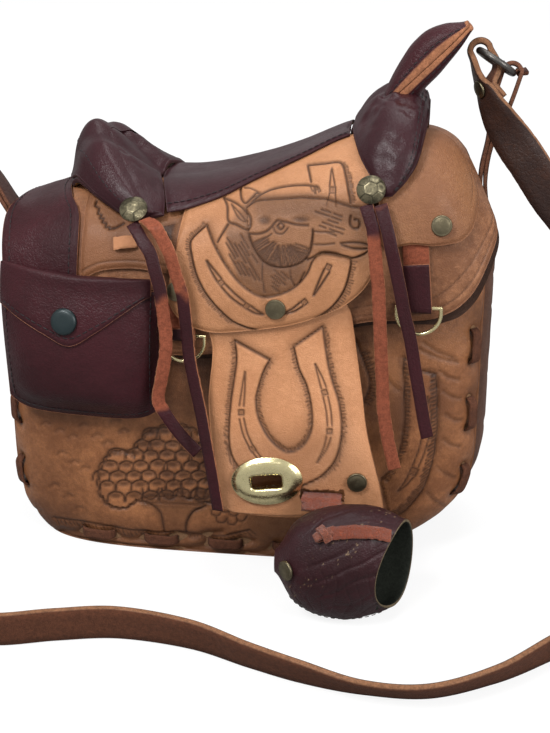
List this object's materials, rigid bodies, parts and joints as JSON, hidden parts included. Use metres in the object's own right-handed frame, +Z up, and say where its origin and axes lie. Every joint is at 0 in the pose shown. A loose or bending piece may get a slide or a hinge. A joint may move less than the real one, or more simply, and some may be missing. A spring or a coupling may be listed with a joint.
{
  "type": "crossbody bag",
  "caption": "Crossbody bag shaped as a small western saddle, with a horn, hooded stirrup, side pouch, turn-lock flap and a long shoulder strap.",
  "frame": {"origin": "middle of the bag's flat base, on the surface it stands on", "axes": "+Z up, +X from the cantle end to the horn end, -Y towards the tooled front"},
  "size_m": [0.4133, 0.2121, 0.2592],
  "materials": {
    "tan_leather": "tooled and waxed",
    "burgundy_leather": "pebbled, worn",
    "brown_leather": "cracked, satin",
    "suede": "raw, fuzzy",
    "polished_brass": "polished",
    "old_brass": "antiqued",
    "dark_steel": "darkened",
    "dark_enamel": "satin"
  },
  "bodies": {
    "bag": {"front_panel": "tan_leather", "back_panel": "tan_leather", "gusset": "brown_leather", "front_lacing": "suede", "back_lacing": "suede", "hinge_strip": "brown_leather", "strap_tab_right": "brown_leather", "strap_tab_left": "brown_leather", "shoulder_strap": "brown_leather", "strap_rivets": "old_brass", "turn_lock_base": "polished_brass"},
    "flap": {"flap_skirt": "tan_leather", "skirt_lining": "brown_leather", "rear_jockey": "tan_leather", "front_jockey": "tan_leather", "seat_jockey": "tan_leather", "fender": "tan_leather", "seat": "burgundy_leather", "cantle": "burgundy_leather", "cantle_binding": "burgundy_leather", "pommel": "burgundy_leather", "horn": "burgundy_leather", "horn_facing": "burgundy_leather", "concho_rear": "old_brass", "concho_front": "old_brass", "rear_string_long": "burgundy_leather", "rear_string_short": "suede", "front_string_long": "burgundy_leather", "front_string_short": "suede", "jockey_rivets": "old_brass", "fender_rivet": "old_brass", "dee_strap_front": "burgundy_leather", "dee_strap_rear": "burgundy_leather", "eyelet_plate": "polished_brass", "eyelet_backing": "polished_brass", "jockey_lace": "suede", "saddlebag_yoke": "burgundy_leather", "saddlebag_back": "burgundy_leather", "saddlebag_pouch": "burgundy_leather", "snap_stud": "old_brass"},
    "pouch_flap": {"saddlebag_flap": "burgundy_leather", "snap_cap": "dark_enamel"},
    "stirrup": {"stirrup_hanger": "suede", "tapadero": "burgundy_leather", "tapadero_lace": "suede", "tapadero_rivet": "old_brass"},
    "dee_front": {"dee_ring_front": "polished_brass"},
    "dee_rear": {"dee_ring_rear": "polished_brass"},
    "lock_knob": {"turn_lock_knob": "polished_brass"},
    "ring_right": {"strap_ring_right": "dark_steel"},
    "ring_left": {"strap_ring_left": "dark_steel"}
  },
  "joints": [
    {"name": "flap_hinge", "type": "hinge", "parent": "bag", "child": "flap", "pos_m": [0, 0.0387, 0.15], "axis": [-1, 0, 0], "range_deg": [0, 110], "deforming": ["shoulder_strap", "strap_tab_right", "strap_tab_left", "strap_rivets"]},
    {"name": "pouch_flap_hinge", "type": "hinge", "parent": "flap", "child": "pouch_flap", "pos_m": [-0.075, -0.0486, 0.149], "axis": [-0.9877, 0.1555, 0.0188], "range_deg": [0, 90]},
    {"name": "stirrup_hinge", "type": "hinge", "parent": "flap", "child": "stirrup", "pos_m": [0.0428, -0.0656, 0.0493], "axis": [-1, 0, 0], "range_deg": [0, 30]},
    {"name": "dee_front_hinge", "type": "hinge", "parent": "flap", "child": "dee_front", "pos_m": [0.084, -0.05205, 0.14136], "axis": [-1, 0, 0], "range_deg": [0, 80], "deforming": ["front_string_long", "front_string_short"]},
    {"name": "dee_rear_hinge", "type": "hinge", "parent": "flap", "child": "dee_rear", "pos_m": [-0.02376, -0.05519, 0.12332], "axis": [-1, 0, 0], "range_deg": [0, 80], "deforming": ["rear_string_long", "rear_string_short"]},
    {"name": "lock_turn", "type": "hinge", "parent": "bag", "child": "lock_knob", "pos_m": [0.0166, -0.0481, 0.038], "axis": [0, -1, 0], "range_deg": [0, 90]},
    {"name": "ring_right_swing", "type": "hinge", "parent": "bag", "child": "ring_right", "pos_m": [0.1205, 0.005, 0.2355], "axis": [0, -0.9536, 0.3011], "range_deg": [0, 15], "deforming": ["shoulder_strap", "strap_rivets"]},
    {"name": "ring_left_swing", "type": "hinge", "parent": "bag", "child": "ring_left", "pos_m": [-0.1489, 0.005, 0.195], "axis": [0, -0.9536, 0.3011], "range_deg": [0, 15], "deforming": ["shoulder_strap", "strap_rivets"]}
  ]
}
